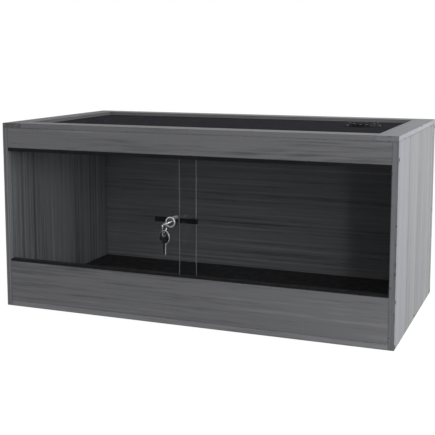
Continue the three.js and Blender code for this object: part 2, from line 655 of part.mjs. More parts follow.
// The ring stands upright through the key's bow; the spare hangs on its lowest point.
const ring = add('key_ring', new THREE.TorusGeometry(
  RING_RADIUS, RING_WIRE, RING_WIRE_SIDES, RING_SIDES,
), STEEL, station(LOCK_X, RING_Y, RING_Z));
ring.rotation.y = Math.PI / 2;

const spareHole = RING_FOOT + RING_WIRE + RING_CLEARANCE - BOW_HOLE_RADIUS;
const spare = add('spare_key', keyGeometry(), CHROME,
  station(LOCK_X, RING_Y, spareHole - BOW_HOLE_CENTRE));
spare.rotation.x = -Math.PI / 2;

export default cabinet;
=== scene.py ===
"""Looks of a grey woodgrain terrarium cabinet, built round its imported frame.

Metres, +Z up. The origin is the centre of the underside and -Y is the front.
"""
import logging
import math
from dataclasses import dataclass, field
from enum import Enum
from typing import Iterable, Optional, Sequence, Union

import bmesh
import bpy
import numpy as np
from mathutils import Matrix, Vector


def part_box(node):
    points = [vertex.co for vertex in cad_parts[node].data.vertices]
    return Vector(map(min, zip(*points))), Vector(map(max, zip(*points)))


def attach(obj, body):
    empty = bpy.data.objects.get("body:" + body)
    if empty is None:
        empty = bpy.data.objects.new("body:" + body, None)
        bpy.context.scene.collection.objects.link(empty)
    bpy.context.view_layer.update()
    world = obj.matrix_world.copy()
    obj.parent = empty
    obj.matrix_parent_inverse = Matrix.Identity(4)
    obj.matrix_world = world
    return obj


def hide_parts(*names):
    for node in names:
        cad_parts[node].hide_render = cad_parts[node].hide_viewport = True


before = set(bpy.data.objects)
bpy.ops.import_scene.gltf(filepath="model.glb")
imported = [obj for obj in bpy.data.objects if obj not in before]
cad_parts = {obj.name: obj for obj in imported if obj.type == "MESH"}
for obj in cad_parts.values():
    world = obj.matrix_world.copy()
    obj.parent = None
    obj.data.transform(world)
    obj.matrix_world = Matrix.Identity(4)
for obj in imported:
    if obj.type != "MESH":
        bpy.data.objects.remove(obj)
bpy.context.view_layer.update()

log = logging.getLogger("cabinet")

MM = 0.001
EVEN = (1.0, 1.0, 1.0)
WHITE = (1.0, 1.0, 1.0, 1.0)
NOISE_SPAN = (0.3, 0.7)
TINY = 1e-12
DOUBLED = 1e-7
SLIVER = 1e-8
WELD = 0.002 * MM
LEVEL = 1e-9
SIDES = 96
Pair = tuple[float, float]
Triple = tuple[float, float, float]
Socket = bpy.types.NodeSocket
Value = Union[Socket, float, Sequence[float]]


class Grain(Enum):
    """The way that a board's printed grain runs."""

    ACROSS = 0
    DEEP = 1
    UPRIGHT = 2


class Turn(Enum):
    """The axis that a piece is turned about, as (first, second, along) rows of a place."""

    UP = (0, 1, 2)
    DEEP = (2, 0, 1)
    ACROSS = (1, 2, 0)


# ---------------------------------------------------------------- node tools
class Nodes:
    """A node tree, with short calls for its nodes and links."""

    def __init__(self, tree: bpy.types.NodeTree) -> None:
        """Takes over a node tree and empties it."""
        self.tree = tree
        self.tree.nodes.clear()

    def add(self, kind: str, inputs: Optional[dict[Union[str, int], Value]] = None,
            **settings: object) -> bpy.types.Node:
        """Adds a node.

        Args:
            kind: the node's type name.
            inputs: what its sockets, by name or number, are linked or set to.
            settings: the node's own properties.

        Returns:
            The node.
        """
        node = self.tree.nodes.new(kind)
        for key, value in settings.items():
            setattr(node, key, value)
        for key, value in (inputs or {}).items():
            self.feed(node.inputs[key], value)
        return node

    def feed(self, target: Socket, value: Value) -> None:
        """Links a socket to another, or sets it to a plain value.

        Args:
            target: the socket that takes the value.
            value: the other socket, or the value.
        """
        if isinstance(value, bpy.types.NodeSocket):
            self.tree.links.new(value, target)
        else:
            target.default_value = value

    def math(self, operation: str, first: Value, second: Value = 0.0) -> Socket:
        """One arithmetic step on two numbers."""
        return self.add("ShaderNodeMath", {0: first, 1: second}, operation=operation).outputs[0]

    def mixed(self, share: Socket, first: Socket, second: Socket) -> Socket:
        """Two shaders mixed: the first where the share is 0, the second where it is 1."""
        return self.add("ShaderNodeMixShader", {"Fac": share, 1: first, 2: second}).outputs[0]


class NodeSheet(Nodes):
    """A material's nodes round one Principled shader, and what the finishes share."""

    def __init__(self, name: str) -> None:
        """Starts a material with one Principled shader.

        Args:
            name: the material's name.
        """
        self.material = bpy.data.materials.new(name)
        self.material.use_nodes = True
        super().__init__(self.material.node_tree)
        self.shader = self.add("ShaderNodeBsdfPrincipled")
        self.output = self.add("ShaderNodeOutputMaterial", {"Surface": self.shader.outputs[0]})
        self.place = self.add("ShaderNodeTexCoord").outputs["Object"]

    def mapped(self, scale: Triple, offset: Triple = (0.0, 0.0, 0.0)) -> Socket:
        """Object coordinates, scaled along each axis and then moved."""
        inputs = {"Vector": self.place, "Scale": scale, "Location": offset}
        return self.add("ShaderNodeMapping", inputs).outputs["Vector"]

    def noise(self, vector: Socket, scale: float, detail: float = 2.0,
              roughness: float = 0.5, distortion: float = 0.0) -> Socket:
        """Noise from 0 to 1.

        Args:
            vector: where the noise is read.
            scale: cells to a unit.
            detail: finer layers.
            roughness: weight of the finer layers.
            distortion: how far the noise is bent by itself.

        Returns:
            The noise's factor.
        """
        return self.add("ShaderNodeTexNoise", {
            "Vector": vector, "Scale": scale, "Detail": detail,
            "Roughness": roughness, "Distortion": distortion}).outputs["Fac"]

    def weighted(self, *parts: tuple[Socket, float]) -> Socket:
        """The sum of some numbers, each times its weight.

        Args:
            parts: the numbers and their weights.

        Returns:
            The sum.
        """
        total, *others = [self.math("MULTIPLY", value, weight) for value, weight in parts]
        for term in others:
            total = self.math("ADD", total, term)
        return total

    def spread(self, value: Socket, start: Pair, end: Pair) -> Socket:
        """Carries one range of numbers to another, clamped at its ends.

        Args:
            value: the number.
            start: low and high before.
            end: low and high after.

        Returns:
            The number in its new range.
        """
        inputs = dict(zip(("From Min", "From Max", "To Min", "To Max"), (*start, *end)))
        node = self.add("ShaderNodeMapRange", {"Value": value, **inputs}, clamp=True)
        return node.outputs["Result"]

    def colours(self, value: Socket, stops: Sequence[tuple[float, Triple]]) -> Socket:
        """Colours along a number from 0 to 1.

        Args:
            value: the number.
            stops: places and their colours, from low to high.

        Returns:
            The colour.
        """
        node = self.add("ShaderNodeValToRGB", {"Fac": value})
        elements = node.color_ramp.elements
        while len(elements) < len(stops):
            elements.new(0.5)
        for element, (position, colour) in zip(elements, stops):
            element.position = position
            element.color = (*colour, 1.0)
        return node.outputs["Color"]

    def blended(self, share: Socket, first: Socket, colour: Triple) -> Socket:
        """A colour laid over another where the share is 1."""
        inputs = {"Factor": share, "A": first, "B": (*colour, 1.0)}
        return self.add("ShaderNodeMix", inputs, data_type="RGBA").outputs["Result"]

    def bump(self, height: Socket, depth: float, strength: float = 1.0) -> None:
        """Raises the surface by a height from 0 to 1, where 1 stands for the depth."""
        inputs = {"Strength": strength, "Distance": depth, "Height": height}
        self.set(Normal=self.add("ShaderNodeBump", inputs).outputs["Normal"])

    def set(self, **values: Value) -> None:
        """Feeds the shader's own sockets; an underscore stands for a space in their names."""
        for name, value in values.items():
            self.feed(self.shader.inputs[name.replace("_", " ")], value)


# ---------------------------------------------------------------- finishes
@dataclass(frozen=True)
class Woodgrain:
    """Printed grey woodgrain on a melamine board, with a banded edge."""

    name: str
    grain: Grain
    shift: float
    dark: Triple = (0.098, 0.099, 0.104)
    middle: Triple = (0.188, 0.190, 0.197)
    light: Triple = (0.262, 0.264, 0.272)
    core: Triple = (0.030, 0.028, 0.027)
    lilac: Triple = (0.188, 0.190, 0.225)
    cool: float = 0.15
    # Painted light and shade: this gain scales all the board's colours, darker below 1 as if the
    # board were in shade and lighter above 1 as if it were lit more.
    painted_light_gain: float = 1.0
    stretch: float = 34.0
    streaks: float = 150.0
    fibres: float = 560.0
    pores: float = 950.0
    contours: float = 95.0
    rules: float = 130.0
    rule_share: float = 0.45
    band: float = 0.9 * MM
    chips: float = 0.9 * MM
    fleck_cells: float = 240.0
    relief: float = 0.05 * MM
    roughness: Pair = (0.42, 0.56)
    specular: float = 0.06

    def along(self, stretch: float) -> Triple:
        """Scales that draw a pattern out along the grain.

        Args:
            stretch: how many times as long as wide the pattern gets.

        Returns:
            The scales along x, y and z.
        """
        scale = [1.0, 1.0, 1.0]
        scale[self.grain.value] = 1.0 / stretch
        return tuple(scale)

    def edge_distance(self, sheet: NodeSheet, low: Sequence[float],
                      high: Sequence[float]) -> Socket:
        """Distance from a point of the board's surface to its nearest edge.

        A point's depths under the three pairs of faces are found first. The least is 0, its
        own face's, so the middle one of the three is the distance to the nearest edge.

        Args:
            sheet: the node tree.
            low: the board's lowest corner.
            high: the board's highest corner.

        Returns:
            The distance in metres.
        """
        parts = sheet.add("ShaderNodeSeparateXYZ", {0: sheet.place})
        depths = [
            sheet.math("MINIMUM", sheet.math("SUBTRACT", axis, near),
                       sheet.math("SUBTRACT", far, axis))
            for axis, near, far in zip(parts.outputs, low, high)
        ]
        lesser = sheet.math("MINIMUM", depths[0], depths[1])
        greater = sheet.math("MAXIMUM", depths[0], depths[1])
        return sheet.math("MAXIMUM", lesser, sheet.math("MINIMUM", greater, depths[2]))

    def material(self, low: Sequence[float], high: Sequence[float]) -> bpy.types.Material:
        """Makes the finish for one board.

        Streaks, fibres and pores are noises drawn out along the grain, and rules run the
        board's whole length. Arches are the contour lines of a slow noise, as in plain-sawn
        wood. A dark line marks the banding, and dark flecks the chipped edges.

        Args:
            low: the board's lowest corner.
            high: the board's highest corner.

        Returns:
            The material.
        """
        sheet = NodeSheet(self.name)
        offset = (self.shift, self.shift * 1.7, self.shift * 2.3)
        slow, fast, long = (
            sheet.mapped(self.along(self.stretch * times), offset) for times in (0.5, 1, 12))
        drift = sheet.noise(slow, 16.0, 2.0, 0.5)
        streak = sheet.noise(fast, self.streaks, 4.0, 0.62, 0.25)
        fibre = sheet.noise(fast, self.fibres, 3.0, 0.6)
        field_noise = sheet.noise(slow, 9.0, 1.5, 0.45, 0.6)
        arches = sheet.math("SINE", sheet.math("MULTIPLY", field_noise, self.contours))
        arch_share = sheet.spread(sheet.noise(slow, 7.0, 1.0), (0.46, 0.66), (0.0, 0.5))
        arch = sheet.math("MULTIPLY", arches, arch_share)
        pores = sheet.spread(sheet.noise(fast, self.pores, 2.0, 0.7), (0.60, 0.74), (0.0, 1.0))
        ruled = sheet.math("SUBTRACT", sheet.noise(long, self.rules, 3.0, 0.75), 0.5)
        tone = sheet.weighted((streak, 0.95), (fibre, 0.45), (drift, 0.55), (arch, 0.10),
                              (pores, -0.16), (ruled, self.rule_share))
        level = sheet.spread(tone, (0.62, 1.34), (0.0, 1.0))
        # Painted light and shade: the board's gain scales its grain colours.
        dark, middle, light = (
            tuple(self.painted_light_gain * part for part in tint)
            for tint in (self.dark, self.middle, self.light))
        colour = sheet.colours(level, [(0.0, dark), (0.42, middle), (0.60, middle), (1.0, light)])
        patches = sheet.spread(sheet.noise(slow, 5.0, 2.0, 0.6), (0.42, 0.62), (0.0, self.cool))
        colour = sheet.blended(patches, colour, self.lilac)
        distance = self.edge_distance(sheet, low, high)
        off_line = sheet.math("ABSOLUTE", sheet.math("SUBTRACT", distance, self.band))
        line = sheet.spread(off_line, (0.12 * MM, 0.42 * MM), (0.55, 0.0))
        colour = sheet.blended(line, colour, self.dark)
        close = sheet.spread(distance, (self.chips * 0.5, self.chips * 1.6), (1.0, 0.0))
        cells = sheet.noise(sheet.mapped(EVEN, offset), self.fleck_cells, 3.0, 0.7)
        flecks = sheet.spread(cells, (0.58, 0.64), (0.0, 0.85))
        colour = sheet.blended(sheet.math("MULTIPLY", close, flecks), colour, self.core)
        sheet.bump(sheet.weighted((fibre, 0.6), (pores, -1.0)), self.relief, 0.6)
        sheet.set(Base_Color=colour, Roughness=sheet.spread(streak, NOISE_SPAN, self.roughness),
                  Specular_IOR_Level=self.specular)
        return sheet.material


@dataclass(frozen=True)
class Moulded:
    """A moulded or coated surface: a base colour that drifts a little, over a fine grain."""

    name: str
    dark: Triple
    light: Triple
    roughness: Pair
    grain: float = 900.0
    relief: float = 0.02 * MM
    specular: float = 0.5

    def material(self) -> bpy.types.Material:
        """Makes the finish.

        Returns:
            The material.
        """
        sheet = NodeSheet(self.name)
        place = sheet.mapped(EVEN)
        cloud = sheet.noise(place, 45.0, 4.0, 0.55)
        grain = sheet.noise(place, self.grain, 3.0, 0.6)
        tone = sheet.spread(sheet.weighted((cloud, 0.6), (grain, 0.4)), (0.32, 0.68), (0.0, 1.0))
        sheet.bump(grain, self.relief, 0.7)
        sheet.set(Base_Color=sheet.colours(tone, [(0.0, self.dark), (1.0, self.light)]),
                  Roughness=sheet.spread(cloud, NOISE_SPAN, self.roughness),
                  Specular_IOR_Level=self.specular)
        return sheet.material


@dataclass(frozen=True)
class Plated:
    """Bright plated or brushed metal with hairline rubs and a little tarnish."""

    name: str
    bright: Triple
    dull: Triple
    roughness: Pair
    rubs: Triple
    metal: float = 1.0
    relief: float = 0.012 * MM

    def material(self) -> bpy.types.Material:
        """Makes the finish; rubs are a noise drawn out along one axis.

        Returns:
            The material.
        """
        sheet = NodeSheet(self.name)
        hair = sheet.noise(sheet.mapped(self.rubs), 1.0, 3.0, 0.6)
        cloud = sheet.noise(sheet.mapped(EVEN), 160.0, 4.0, 0.6)
        tone = sheet.spread(sheet.weighted((cloud, 0.7), (hair, 0.3)), (0.38, 0.62), (0.0, 1.0))
        sheet.bump(hair, self.relief, 0.5)
        sheet.set(Base_Color=sheet.colours(tone, [(0.0, self.dull), (1.0, self.bright)]),
                  Roughness=sheet.spread(hair, NOISE_SPAN, self.roughness), Metallic=self.metal)
        return sheet.material


@dataclass(frozen=True)
class ClearGlass:
    """Float glass that lets lamps through, with faint wipe marks in its gloss."""

    name: str
    tint: Triple = (0.965, 0.972, 0.968)
    index: float = 1.45
    specular: float = 0.5

    def material(self) -> bpy.types.Material:
        """Makes the finish.

        Returns:
            The material.
        """
        sheet = NodeSheet(self.name)
        tint = (*self.tint, 1.0)
        smear = sheet.noise(sheet.mapped((1.0, 1.0, 0.3)), 14.0, 3.0, 0.5)
        sheet.set(Base_Color=tint, Roughness=sheet.spread(smear, (0.35, 0.75), (0.0, 0.02)),
                  Transmission_Weight=1.0, IOR=self.index, Specular_IOR_Level=self.specular)
        clear = sheet.add("ShaderNodeBsdfTransparent", {"Color": tint})
        rays = sheet.add("ShaderNodeLightPath")
        sheet.feed(sheet.output.inputs["Surface"], sheet.mixed(
            rays.outputs["Is Shadow Ray"], sheet.shader.outputs[0], clear.outputs[0]))
        return sheet.material


@dataclass(frozen=True)
class Beech:
    """Plain beech of the hidden dowels, with fine upright fibres."""

    name: str

    def material(self) -> bpy.types.Material:
        """Makes the finish.

        Returns:
            The material.
        """
        sheet = NodeSheet(self.name)
        fibre = sheet.noise(sheet.mapped((1.0, 1.0, 0.05)), 900.0, 3.0, 0.6)
        stops = [(0.3, (0.36, 0.22, 0.11)), (0.7, (0.58, 0.40, 0.23))]
        sheet.bump(fibre, 0.05 * MM, 0.6)
        sheet.set(Base_Color=sheet.colours(fibre, stops),
                  Roughness=sheet.spread(fibre, NOISE_SPAN, (0.6, 0.75)))
        return sheet.material


class Finishes:
    """The finishes that more than one sub-assembly wears, each made once."""

    def __init__(self) -> None:
        """Makes every shared material."""
        self.glass = ClearGlass("float_glass").material()
        self.ground_edge = Moulded(
            "ground_glass_edge", (0.085, 0.100, 0.096), (0.150, 0.168, 0.163), (0.35, 0.55),
            grain=1500.0).material()
        self.track = Moulded(
            "black_track_plastic", (0.006, 0.006, 0.007), (0.013, 0.013, 0.014),
            (0.38, 0.5)).material()
        self.port = Moulded(
            "gloss_black_plastic", (0.008, 0.008, 0.009), (0.016, 0.016, 0.017), (0.36, 0.50),
            grain=700.0, relief=0.008 * MM, specular=0.06).material()
        self.liner = Moulded(
            "black_floor_sheet", (0.008, 0.008, 0.010), (0.019, 0.019, 0.022), (0.42, 0.6),
            grain=520.0, relief=0.05 * MM, specular=0.35).material()
        self.wire = Moulded(
            "black_coated_wire", (0.012, 0.012, 0.016), (0.032, 0.032, 0.041), (0.6, 0.75),
            grain=1400.0, specular=0.09).material()
        self.strip = Moulded(
            "black_coated_steel", (0.012, 0.012, 0.013), (0.024, 0.024, 0.026),
            (0.38, 0.5)).material()
        self.screw = Moulded(
            "blackened_steel", (0.006, 0.006, 0.007), (0.016, 0.016, 0.017), (0.5, 0.7),
            grain=1800.0, specular=0.1).material()
        self.chrome = Plated(
            "bright_chrome", (0.90, 0.91, 0.92), (0.74, 0.75, 0.77), (0.05, 0.13),
            (900.0, 900.0, 120.0)).material()
        self.nickel = Plated(
            "nickel_plate", (0.40, 0.40, 0.40), (0.24, 0.24, 0.24), (0.22, 0.34),
            (260.0, 1400.0, 260.0)).material()
        # Painted highlight: a half-metal finish far lighter than the nickel and chrome beside it,
        # which paints a bright rim on the keys' edges and the lock's front.
        self.painted_edge_highlight = Plated(
            "painted_highlight_edge", (0.95, 0.95, 0.94), (0.80, 0.80, 0.79), (0.24, 0.36),
            (260.0, 1400.0, 260.0), metal=0.5).material()
        self.steel = Plated(
            "brushed_steel", (0.66, 0.67, 0.68), (0.46, 0.47, 0.48), (0.2, 0.34),
            (1500.0, 300.0, 1500.0)).material()
        self.beech = Beech("beech_dowel").material()


# ---------------------------------------------------------------- mesh tools
@dataclass
class Surface:
    """Points and quads worked out as whole arrays, with a finish number for each quad."""

    points: np.ndarray
    quads: np.ndarray
    finish: np.ndarray = field(default_factory=lambda: np.zeros(0, int))

    def __post_init__(self) -> None:
        """Gives every quad the first finish where none is stated."""
        if len(self.finish) != len(self.quads):
            self.finish = np.zeros(len(self.quads), int)

    @staticmethod
    def joined(surfaces: Iterable["Surface"]) -> "Surface":
        """Several surfaces as one.

        Args:
            surfaces: the surfaces.

        Returns:
            One surface, its quads renumbered by a running count of the points before them.
        """
        surfaces = list(surfaces)
        starts = np.cumsum([0] + [len(s.points) for s in surfaces[:-1]])
        return Surface(
            np.concatenate([s.points for s in surfaces]),
            np.concatenate([s.quads + start for s, start in zip(surfaces, starts)]),
            np.concatenate([s.finish for s in surfaces]),
        )


def grid_quads(rows: int, columns: int, close_rows: bool = False) -> np.ndarray:
    """Quads between the neighbouring points of a grid whose rows are rings.

    Point (i, j) is number i * columns + j.

    Args:
        rows: how many rows of points.
        columns: how many points in a row.
        close_rows: whether the last row joins the first.

    Returns:
        Four point numbers for each quad.
    """
    i, j = np.meshgrid(np.arange(rows if close_rows else rows - 1), np.arange(columns),
                       indexing="ij")
    i, j = i.ravel(), j.ravel()
    below, beside = (i + 1) % rows, (j + 1) % columns
    return np.stack([i * columns + j, i * columns + beside,
                     below * columns + beside, below * columns + j], 1)


def closed_quads(rows: int, columns: int) -> np.ndarray:
    """Quads of a tube of rings, with strips from side to side that close both of its ends.

    Args:
        rows: how many rings.
        columns: how many points in a ring, an even number.

    Returns:
        Four point numbers for each quad, the tube's walls first.
    """
    half = np.arange(columns // 2 - 1)
    strip = np.stack([half, half + 1, columns - 2 - half, columns - 1 - half], 1)
    last = strip[:, ::-1] + (rows - 1) * columns
    return np.concatenate([grid_quads(rows, columns), strip, last])


def eased(corners: Sequence[Sequence[float]], radius: Union[float, Sequence[float]],
          steps: int = 4) -> np.ndarray:
    """A closed line of corners with each corner rounded.

    A corner P between entry A and exit B, each one radius away along its sides, becomes the
    curve (1 - t)^2 A + 2 t (1 - t) P + t^2 B for t from 0 to 1.

    Args:
        corners: the corners in order.
        radius: one for all corners, or one each.
        steps: points to a corner.

    Returns:
        The points of the eased line.
    """
    corner = np.asarray(corners, float)
    reach = np.broadcast_to(np.asarray(radius, float), len(corner))[:, None]
    before, after = np.roll(corner, 1, 0) - corner, np.roll(corner, -1, 0) - corner
    start, end = (
        corner + reach * (side / np.maximum(np.linalg.norm(side, axis=1, keepdims=True), TINY))
        for side in (before, after))
    t = np.linspace(0.0, 1.0, steps)[None, :, None]
    curve = ((1 - t) ** 2 * start[:, None] + 2 * t * (1 - t) * corner[:, None]
             + t ** 2 * end[:, None])
    return curve.reshape(-1, corner.shape[1])


def full_turn(count: int) -> np.ndarray:
    """Even angles round a full turn."""
    return np.linspace(0.0, 2 * math.pi, count, endpoint=False)


def turned(profile: np.ndarray, sides: int, turn: Turn, centre: Sequence[float],
           closed: bool = True) -> Surface:
    """A profile turned about an axis.

    Point (k, j) is at radius r_k and angle 2 pi j / sides: (r cos a, r sin a, h) in the order
    that the turn gives.

    Args:
        profile: rows of radius and height.
        sides: points round the axis.
        turn: the axis.
        centre: a point on the axis, at height 0.
        closed: whether the profile's last point joins its first.

    Returns:
        The surface.
    """
    angle = full_turn(sides)
    radius, height = profile[:, :1], profile[:, 1:2]
    first, second, along = turn.value
    points = np.empty((len(profile), sides, 3))
    points[..., first] = radius * np.cos(angle)
    points[..., second] = radius * np.sin(angle)
    points[..., along] = height
    return Surface(points.reshape(-1, 3) + np.asarray(centre, float),
                   grid_quads(len(profile), sides, close_rows=closed))


def straight_wires(starts: np.ndarray, ends: np.ndarray, radius: float,
                   side: Sequence[float]) -> Surface:
    """Straight six-sided wires between two sets of points.

    Each corner is an end point plus radius times (cos a along side, sin a upwards), for six
    angles a. Two quads close each end.

    Args:
        starts: one end of each wire.
        ends: the other end.
        radius: the wire's radius.
        side: the level direction square to the wires.

    Returns:
        The surface.
    """
    angle = np.arange(6) * math.pi / 3
    ring = radius * (np.cos(angle)[:, None] * np.asarray(side, float)
                     + np.sin(angle)[:, None] * np.array([0.0, 0.0, 1.0]))
    points = np.stack([starts[:, None] + ring, ends[:, None] + ring], 1)
    walls = grid_quads(2, 6)
    caps = np.array([[0, 3, 2, 1], [0, 5, 4, 3], [6, 7, 8, 9], [6, 9, 10, 11]])
    one = np.concatenate([walls, caps])
    quads = (np.arange(len(starts))[:, None, None] * 12 + one).reshape(-1, 4)
    return Surface(points.reshape(-1, 3), quads)


def slab(low: Sequence[float], high: Sequence[float], edge: float) -> Surface:
    """An upright pane with rounded edges, thin along y.

    Its outline in x and z has eased corners. Loops of that outline are carried from the front
    face over the edge to the back: inset e (1 - sin a), depth e (1 - cos a), a from 0 to 90
    degrees, and again mirrored. Strips from side to side close the two faces.

    Args:
        low: the lowest corner.
        high: the highest corner.
        edge: the radius of the edge.

    Returns:
        The surface; its faces have finish 0 and its edge finish 1.
    """
    angle = np.linspace(0.0, math.pi / 2, 4)
    inset = edge * (1 - np.sin(angle))
    depth = edge * (1 - np.cos(angle))
    insets = np.concatenate([inset, inset[::-1]])
    ys = np.concatenate([low[1] + depth, high[1] - depth[::-1]])
    half = np.array([(high[0] - low[0]) / 2, (high[2] - low[2]) / 2])
    middle = np.array([(high[0] + low[0]) / 2, (high[2] + low[2]) / 2])
    square = np.array([[-1, -1], [1, -1], [1, 1], [-1, 1]], float)
    outline = eased(square * half, edge * 1.5, 5)
    scale = 1 - insets[:, None, None] / half
    loops = middle + outline[None] * scale
    points = np.empty((len(ys), len(outline), 3))
    points[..., 0], points[..., 2] = loops[..., 0], loops[..., 1]
    points[..., 1] = ys[:, None]
    quads = closed_quads(len(ys), len(outline))
    walls = (len(ys) - 1) * len(outline)
    return Surface(points.reshape(-1, 3), quads, (np.arange(len(quads)) < walls).astype(int))


def half_round(radius: float, gap: float, near: float, far: float, centre: Sequence[float],
               way: int) -> Surface:
    """The part of a cylinder along y that lies above or below a level gap.

    Its outline is r (cos a, way sin a), for a from asin(g / r) to 180 degrees less that, at
    both ends. Strips from side to side close the ends.

    Args:
        radius: the cylinder's radius r.
        gap: half the gap's height g.
        near: where it starts along y.
        far: where it ends.
        centre: a point on the axis.
        way: 1 above the gap and -1 below it.

    Returns:
        The surface.
    """
    count = 32
    start = math.asin(gap / radius)
    angle = np.linspace(start, math.pi - start, count)
    points = np.empty((2, count, 3))
    points[..., 0] = centre[0] + radius * np.cos(angle)
    points[..., 1] = np.array([[near], [far]])
    points[..., 2] = centre[2] + way * radius * np.sin(angle)
    return Surface(points.reshape(-1, 3), closed_quads(2, count))


def flat_plate(outlines: Sequence[np.ndarray], thickness: float, edge: float) -> bpy.types.Mesh:
    """A flat plate cut to an outline, with holes and softened edges.

    Args:
        outlines: the outer line and then its holes, as rows of x and y.
        thickness: from face to face.
        edge: the radius of the softened edge.

    Returns:
        A mesh that lies about z = 0.
    """
    curve = bpy.data.curves.new("plate_outline", "CURVE")
    curve.dimensions = "2D"
    curve.fill_mode = "BOTH"
    curve.extrude = thickness / 2 - edge
    curve.bevel_depth = edge
    curve.bevel_resolution = 2
    curve.offset = -edge
    for outline in outlines:
        spline = curve.splines.new("POLY")
        spline.points.add(len(outline) - 1)
        flat = np.column_stack([outline, np.zeros(len(outline)), np.ones(len(outline))])
        spline.points.foreach_set("co", flat.ravel())
        spline.use_cyclic_u = True
    holder = bpy.data.objects.new("plate_outline", curve)
    bpy.context.scene.collection.objects.link(holder)
    graph = bpy.context.evaluated_depsgraph_get()
    mesh = bpy.data.meshes.new_from_object(holder.evaluated_get(graph))
    bpy.data.objects.remove(holder)
    bpy.data.curves.remove(curve)
    return mesh


class Piece:
    """A finished piece of the cabinet, riding on its body."""

    def __init__(self, name: str, shape: Union[Surface, bpy.types.Mesh],
                 materials: Sequence[bpy.types.Material], body: str) -> None:
        """Makes the object, its mesh in place.

        Args:
            name: the piece's name.
            shape: its surface, or a mesh already in place.
            materials: its finishes, in the order that the quads number them.
            body: the body that it moves with.
        """
        if isinstance(shape, Surface):
            mesh = bpy.data.meshes.new(name)
            mesh.from_pydata(shape.points.tolist(), [], shape.quads.tolist())
            mesh.polygons.foreach_set("material_index", shape.finish)
        else:
            mesh = shape
            mesh.name = name
        for material in materials:
            mesh.materials.append(material)
        self.object = bpy.data.objects.new(name, mesh)
        self.body = body
        bpy.context.scene.collection.objects.link(self.object)

    def finish(self, nodes: Sequence[str], slot: str, sharp: float = 35.0,
               flat_over: float = 1.0) -> None:
        """Cleans and shades the piece, and stands it in for its CAD nodes on its body.

        Args:
            nodes: the CAD nodes that it replaces.
            slot: not used.
            sharp: folds over this many degrees stay crisp.
            flat_over: faces over this many square metres stay flat up to their borders.
        """
        mesh = self.object.data
        work = bmesh.new()
        work.from_mesh(mesh)
        bmesh.ops.remove_doubles(work, verts=work.verts, dist=DOUBLED)
        bmesh.ops.dissolve_degenerate(work, edges=work.edges, dist=SLIVER)
        bmesh.ops.recalc_face_normals(work, faces=work.faces)
        work.to_mesh(mesh)
        work.free()
        mesh.set_sharp_from_angle(angle=math.radians(sharp))
        areas = np.empty(len(mesh.polygons))
        mesh.polygons.foreach_get("area", areas)
        mesh.polygons.foreach_set("use_smooth", areas < flat_over)
        mesh.update()
        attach(self.object, self.body)
        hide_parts(*nodes)
        log.info("%s: %d faces on %s", self.object.name, len(mesh.polygons), self.body)


def dress(node: str, material: bpy.types.Material, edge: float = 0.0, fold: float = 60.0) -> None:
    """Gives a CAD node its finish and, where stated, softened edges.

    Args:
        node: the node's name.
        material: its finish.
        edge: the radius of its edges; 0 leaves them crisp.
        fold: only folds over this many degrees are softened.
    """
    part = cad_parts[node]
    if not part.material_slots:
        part.data.materials.append(None)
    for slot in part.material_slots:
        slot.link = "OBJECT"
        slot.material = material
    if edge > 0:
        weld = part.modifiers.new("weld", "WELD")
        weld.merge_threshold = WELD
        bevel = part.modifiers.new("edge", "BEVEL")
        bevel.width = edge
        bevel.segments = 3
        bevel.limit_method = "ANGLE"
        bevel.angle_limit = math.radians(fold)
        bevel.use_clamp_overlap = False
        bevel.harden_normals = False
    log.info("%s: CAD node dressed in %s", node, material.name)


# ---------------------------------------------------------------- sub-assemblies
@dataclass
class SubAssembly:
    """A part of the cabinet, which wears the shared finishes."""

    finishes: Finishes

    def build(self) -> None:
        """Makes its pieces and dresses its CAD nodes."""
        raise NotImplementedError


@dataclass
class Carcass(SubAssembly):
    """The box: two sides, bottom, back, fascia, header and the four boards of the top frame."""

    edge: float = 0.6 * MM
    # Painted light and shade by board: the gain paints the left top frame board darker as if in
    # shade, and the right top frame board and the back panel lighter as if lit more; the bottom
    # panel is drawn lighter.
    boards: dict[str, tuple[Grain, dict[str, float]]] = field(default_factory=lambda: {
        "left_side_panel": (Grain.UPRIGHT, {"rules": 150.0, "rule_share": 1.9}),
        "right_side_panel": (Grain.UPRIGHT, {
            "cool": 0.6, "rules": 42.0, "rule_share": 1.0, "chips": 3.0 * MM,
            "fleck_cells": 70.0}),
        "bottom_panel": (Grain.ACROSS, {"painted_light_gain": 1.45}),
        "back_panel": (Grain.ACROSS, {"rules": 150.0, "rule_share": 1.3, "painted_light_gain": 1.08}),
        "front_fascia": (Grain.ACROSS, {}),
        "front_header": (Grain.ACROSS, {}),
        "top_frame_left": (Grain.DEEP, {"painted_light_gain": 0.68, "rule_share": 1.2}),
        "top_frame_right": (Grain.DEEP, {
            "cool": 0.8, "chips": 2.4 * MM, "fleck_cells": 70.0, "painted_light_gain": 1.2}),
        "top_frame_front": (Grain.ACROSS, {}),
        "top_frame_back": (Grain.ACROSS, {}),
    })
    first_shift: float = 3.1
    next_shift: float = 1.37

    def build(self) -> None:
        """Dresses each board in its own stretch of grain, and lines the floor."""
        for number, (node, (grain, traits)) in enumerate(self.boards.items()):
            low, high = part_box(node)
            shift = self.first_shift + self.next_shift * number
            finish = Woodgrain(f"woodgrain_{node}", grain, shift, **traits)
            dress(node, finish.material(low, high), self.edge)
        dress("floor_liner", self.finishes.liner)


